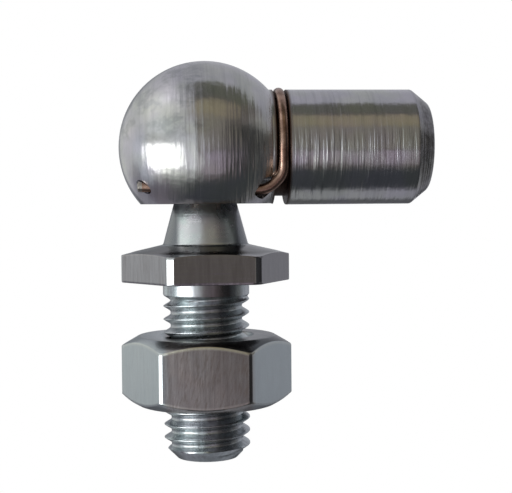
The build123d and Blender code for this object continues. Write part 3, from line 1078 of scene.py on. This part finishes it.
on_cone = add(tree, "ShaderNodeMapRange", {
    "Value": past_cone, "From Min": cone - 0.03, "From Max": cone,
})
on_face = add(tree, "ShaderNodeMapRange", {
    "Value": height, "From Min": half_height - 0.06, "From Max": half_height - 0.02,
})
turned = add(tree, "ShaderNodeMath", {
    0: on_cone.outputs[0], 1: on_face.outputs[0],
}, operation="MAXIMUM")
upper_half = add(tree, "ShaderNodeMath", {
    0: parts["Z"], 1: NUT_MIDDLE,
}, operation="GREATER_THAN")
# One side of the upper cone and its face is painted dark, as painted shade
tint = coat(
    tree, tint, "3c3e42", parts["X"], -1.0, 5.0, 0.9, (turned.outputs[0], upper_half.outputs[0])
)
tree.links.new(tint, surface.inputs["Base Color"])
print("the nut's cones meet its faces", NUT_FACE_R, "mm from the axis")

# %% Nut metal, its gloss
rough = add(tree, "ShaderNodeMapRange", {
    "Value": dull, "From Min": 0.3, "From Max": 0.75, "To Min": 0.2, "To Max": 0.27,
})
tree.links.new(rough.outputs[0], surface.inputs["Roughness"])
bump = add(tree, "ShaderNodeBump", {"Height": drawn, "Distance": 0.007 * MM})
tree.links.new(bump.outputs[0], surface.inputs["Normal"])
print(nut_metal.name, "has", len(tree.nodes), "nodes")

# %% [markdown]
# ## Bronze-coloured spring wire, for the clip
# The clip is hard-drawn wire with a brown, coppery finish, in lighter and darker patches.
# It is smooth along its length, so one narrow line of light follows it. Where it was
# cropped, at the tips of the legs, the bare steel is paler.

# %% Clip metal
clip_metal, tree, surface, place_mm = new_metal("bronzed_spring_wire", "7a5f52", 0.25)
patches = streaks(tree, place_mm, (1.2, 1.2, 1.2), 3.0, 61.0)
tint = coat(tree, to_linear("b39585"), "7c6053", patches, 0.35, 0.7)
parts = add(tree, "ShaderNodeSeparateXYZ", {0: place_mm}).outputs
cropped = add(tree, "ShaderNodeMath", {
    0: parts["X"], 1: LEG_EXIT_X - LEG_PROUD + 0.5,
}, operation="LESS_THAN").outputs[0]
tint = coat(tree, tint, "a39d96", cropped, 0, 1)
tree.links.new(tint, surface.inputs["Base Color"])
rough = add(tree, "ShaderNodeMapRange", {
    "Value": patches, "From Min": 0.3, "From Max": 0.7, "To Min": 0.2, "To Max": 0.32,
})
tree.links.new(rough.outputs[0], surface.inputs["Roughness"])
WIRE_GRAIN = 0.4  # mm, the finish's orange peel, which is finer on the real wire
grain = streaks(tree, place_mm, (WIRE_GRAIN, WIRE_GRAIN, WIRE_GRAIN), 2.0, 67.0)
bump = add(tree, "ShaderNodeBump", {"Height": grain, "Distance": 0.008 * MM})
tree.links.new(bump.outputs[0], surface.inputs["Normal"])
print(clip_metal.name, "has", len(tree.nodes), "nodes")

# %% [markdown]
# ## Oiled spring steel, for the ring inside
# The snap ring is bare spring steel under a film of oil: dark, even and a little glossy.
# Patches where the film is thicker are darker and rougher, and that is all it needs.

# %% Ring metal
ring_metal, tree, surface, place_mm = new_metal("oiled_spring_steel", "6c6c70", 0.3)
patches = streaks(tree, place_mm, (1.5, 1.5, 1.5), 3.0, 71.0)
tint = coat(tree, to_linear("77777a"), "4c4a4a", patches, 0.35, 0.7)
tree.links.new(tint, surface.inputs["Base Color"])
rough = add(tree, "ShaderNodeMapRange", {
    "Value": patches, "From Min": 0.3, "From Max": 0.7, "To Min": 0.24, "To Max": 0.4,
})
tree.links.new(rough.outputs[0], surface.inputs["Roughness"])
print(ring_metal.name, "has", len(tree.nodes), "nodes")

# %% Put the metals on
for piece, metal in (
    (socket, socket_metal), (stud, stud_metal), (nut, nut_metal), (clip, clip_metal),
    (inner_ring, ring_metal),
):
    piece.data.materials.clear()
    piece.data.materials.append(metal)
    print(piece.name, "is", metal.name)

# %% [markdown]
# ## A light tent
# Polished metal has no colour of its own: it shows the room. So the light is a tent, a
# large sphere round the object that glows differently in each direction, as white cloth,
# dark cards and a window would. The camera doesn't see the tent, only the metal does. It is
# painted in patches, each over the ones before it, in degrees. A patch on the walls is
# placed by its turn, 0 towards the viewer and positive to the right, and by its height. A
# patch that runs overhead or underneath is placed by its side angle, negative on the left,
# and by its tilt round the shank: 0 in front, 90 overhead, 180 behind and -90 underneath.

# %% Tent patches
# name, kind, turn or side from and to, height or tilt from and to, the softness of both,
# colour, strength
TENT_PATCHES = (
    ("room", "wall", -181, 181, -91, 91, 1, 1, "b7b8be", 1.0),
    ("left side", "over", -91, -22, -181, 181, 26, 1, "dadcdb", 1.0),
    ("floor behind", "over", -91, 91, -155, -97, 1, 12, "96969c", 1.0),
    ("floor on the left", "wall", -160, -60, -91, -14, 20, 12, "96969c", 1.0),
    ("floor on the right", "wall", 96, 170, -82, -40, 16, 12, "58595c", 1.0),
    ("far left", "wall", -181, -156, -24, 22, 8, 12, "8f9297", 1.0),
    ("edge of the table behind", "over", -24, 34, -170, -130, 10, 10, "606165", 1.0),
    ("lit floor behind", "over", -28, 38, -133, -99, 12, 12, "9fa0a6", 1.0),
    ("purple cloth", "wall", -125, -58, -58, -30, 16, 12, "7a757e", 1.0),
    ("bright cloth", "over", -64, -30, 56, 114, 16, 14, "ffffff", 1.05),
    ("pane, upper", "wall", -100, -80, 44, 54, 12, 6, "ffffff", 1.45),
    ("pane, lower", "wall", -118, -92, 36, 44, 12, 6, "ffffff", 1.2),
    ("pane, far left", "wall", -140, -112, 8, 20, 12, 8, "efefea", 1.0),
    ("upper sash", "wall", -86, -48, 14, 32, 16, 8, "f2f8f4", 1.1),
    ("grey cloth", "wall", -46, -13, 14, 34, 14, 10, "d6dad8", 1.0),
    ("room in front", "over", -12, 66, -58, 92, 4, 10, "66605f", 1.0),
    ("front above the table", "over", -12, 26, -6, 42, 4, 10, "8b867e", 1.0),
    ("right wall", "over", 56, 91, -12, 92, 14, 10, "a8a6a5", 1.0),
    ("dark strip overhead", "over", -12, 46, 68, 92, 14, 12, "686960", 1.0),
    ("straw card", "over", -13, 34, 40, 64, 8, 8, "9a917c", 1.0),
    ("dark corner", "wall", 40, 82, -62, 24, 12, 12, "3c3c3e", 1.0),
    ("glow off the table", "wall", -12, 24, -36, -9, 10, 8, "a0969f", 1.0),
    ("gap on the table", "wall", 7, 12, -34, -9, 3, 8, "6a636a", 1.0),
    ("paper on the table", "wall", 13, 20, -34, -9, 3, 8, "d2c6d0", 1.0),
    ("door on the right", "wall", 84, 108, -60, 14, 8, 10, "6c6a69", 1.0),
    ("shadow underneath", "over", -34, 75, -96, -46, 30, 14, "43464a", 1.0),
    ("left of the window", "wall", -107, -86, -30, 12, 6, 12, "cad2d6", 1.0),
    ("right of the window", "wall", -48, -10, -29, 14, 5, 14, "eaeef1", 1.0),
    ("beside the frame", "wall", -52, -30, -34, 3.5, 14, 14, "ccd0d3", 1.0),
    ("light under the sill", "wall", -90, -40, -34, -18, 12, 12, "e8e8e8", 1.0),
    ("window", "wall", -83, -38, -24, 2, 7, 7, "ffffff", 4.5),
)
print("the tent has", len(TENT_PATCHES), "patches")


# %% Painting the tent
def ramp(x, edge, softness):
    """0 below the edge and 1 above it, over a soft step."""
    t = np.clip((x - edge) / softness + 0.5, 0, 1)
    return t * t * (3 - 2 * t)


def tent_colours(directions):
    """The glow of the tent in each direction."""
    x, y, z = directions.T
    places = {
        "wall": (np.degrees(np.arctan2(x, -y)), np.degrees(np.arcsin(np.clip(z, -1, 1)))),
        "over": (np.degrees(np.arcsin(np.clip(x, -1, 1))), np.degrees(np.arctan2(z, -y))),
    }
    glow = np.zeros((len(directions), 3))
    for _, kind, left, right, low, high, soft_across, soft_up, colour, strength in TENT_PATCHES:
        across, up = places[kind]
        share = ramp(across, left, soft_across) * ramp(-across, -right, soft_across)
        share *= ramp(up, low, soft_up) * ramp(-up, -high, soft_up)
        paint = np.array(to_linear(colour)[:3]) * strength
        glow += share[:, None] * (paint - glow)
    return glow


print("glow overhead:", tent_colours(np.array([[0.0, 0.0, 1.0]])).round(2)[0])

# %% [markdown]
# ## The tent's cloth
# The patches could be textures, but then the room would need images. A fine sphere that
# holds one colour at each point, which its emission reads, is enough for soft reflections.
# It is a stack of rings like everything else, a metre in radius, so its points are also the
# directions to paint. The sphere casts no shadow and the camera looks through it.

# %% Tent
TENT_STEP = 2  # degrees between the points of the tent, which is a metre in radius
TENT_DROP = 12  # mm from the ball's centre down to the tent's, the middle of the object

turns = [math.radians(turn) for turn in range(0, 360, TENT_STEP)]
tilts = [math.radians(tilt) for tilt in range(0, 181, TENT_STEP)]
tent_mesh = mesh_of("light_tent", [skin([ring(math.sin(t), math.cos(t), turns) for t in tilts])])
glow = tent_colours(np.array([v.co for v in tent_mesh.vertices]))
cloth_colour = tent_mesh.attributes.new("glow", "FLOAT_COLOR", "POINT")
cloth_colour.data.foreach_set("color", np.hstack([glow, np.ones((len(glow), 1))]).ravel())
tent_mesh.shade_smooth()
tent = bpy.data.objects.new("light_tent", tent_mesh)
tent.location = BALL_CENTRE + Vector((0, 0, -TENT_DROP)) * MM
bpy.context.collection.objects.link(tent)
tent.visible_camera = False
tent.visible_shadow = False

cloth = bpy.data.materials.new("glowing_cloth")
cloth.use_nodes = True
tree = cloth.node_tree
tree.nodes.remove(tree.nodes["Principled BSDF"])
painted = add(tree, "ShaderNodeAttribute", attribute_name="glow")
shining = add(tree, "ShaderNodeEmission", {"Color": painted.outputs["Color"], "Strength": 1.0})
tree.links.new(shining.outputs[0], tree.nodes["Material Output"].inputs["Surface"])
tent_mesh.materials.append(cloth)
print("tent brightness from", round(float(glow.min()), 2), "to", round(float(glow.max()), 2))

# %% [markdown]
# ## The floor
# The floor is a round sheet of pale card below the object, which hangs free as a linkage
# part does. It keeps the object's soft shadow, and it pales to white towards its rim, so
# that no edge shows where it ends. The metal already has the tent to reflect, so the card
# stays out of its reflections. More light would pale the card too, but it would also
# bleach the object, so the card glows a little for the rays that show it and for no others.

# %% Floor
FLOOR_Z = -75.0
FLOOR_R = 300.0

floor_mesh = mesh_of("floor", [skin([
    ring(0, FLOOR_Z), ring(FLOOR_R, FLOOR_Z), ring(FLOOR_R, FLOOR_Z - 1), ring(0, FLOOR_Z - 1),
])])
floor = bpy.data.objects.new("floor", floor_mesh)
bpy.context.collection.objects.link(floor)
floor.visible_glossy = False


# %% The floor's card
def seen(tree):
    """1 for the rays that show a thing: the camera's, and those off metal or through glass."""
    rays = add(tree, "ShaderNodeLightPath").outputs
    straight = add(tree, "ShaderNodeMath", {
        0: rays["Is Camera Ray"], 1: rays["Is Glossy Ray"],
    }, operation="MAXIMUM")
    return add(tree, "ShaderNodeMath", {
        0: straight.outputs[0], 1: rays["Is Transmission Ray"],
    }, operation="MAXIMUM").outputs[0]


CARD_PLAIN = 90  # mm from the ball's centre, within which the card is plain
CARD_WHITE = 280  # mm from the ball's centre, where it has paled to white

card = bpy.data.materials.new("pale_card")
card.use_nodes = True
tree = card.node_tree
surface = tree.nodes["Principled BSDF"]
surface.inputs["Base Color"].default_value = to_linear("e6e6e4")
surface.inputs["Roughness"].default_value = 0.9
own = add(tree, "ShaderNodeTexCoord").outputs["Object"]
centred = add(tree, "ShaderNodeVectorMath", {0: own, 1: BALL_CENTRE}, operation="SUBTRACT")
outward = add(tree, "ShaderNodeVectorMath", {0: centred.outputs[0]}, operation="LENGTH")
rim = add(tree, "ShaderNodeMapRange", {
    "Value": outward.outputs["Value"], "From Min": CARD_PLAIN * MM, "From Max": CARD_WHITE * MM,
}, interpolation_type="SMOOTHSTEP")
paling = add(tree, "ShaderNodeMapRange", {
    "Value": rim.outputs[0], "To Min": 0.42, "To Max": 0.75,
})
paling = add(tree, "ShaderNodeMath", {0: paling.outputs[0], 1: seen(tree)}, operation="MULTIPLY")
surface.inputs["Emission Color"].default_value = to_linear("ffffff")
tree.links.new(paling.outputs[0], surface.inputs["Emission Strength"])
floor_mesh.materials.append(card)
print("the card pales between", CARD_PLAIN, "and", CARD_WHITE, "mm from the ball")

# %% [markdown]
# ## The background
# The background is plain white for the camera and for what metal would show past the
# tent. For everything else it is a pale grey light, so that it doesn't bleach the object.

# %% World
world = bpy.data.worlds.new("studio")
bpy.context.scene.world = world
world.use_nodes = True
tree = world.node_tree
sky = add(tree, "ShaderNodeMix", {
    0: seen(tree), 6: to_linear("b9bcc0"), 7: to_linear("ffffff"),
}, data_type="RGBA")
tree.links.new(sky.outputs[2], tree.nodes["Background"].inputs["Color"])
tree.nodes["Background"].inputs["Strength"].default_value = 1.0
bpy.context.scene.view_settings.view_transform = "Standard"
print("the background is white, and lights with", tuple(round(c, 2) for c in to_linear("b9bcc0")))
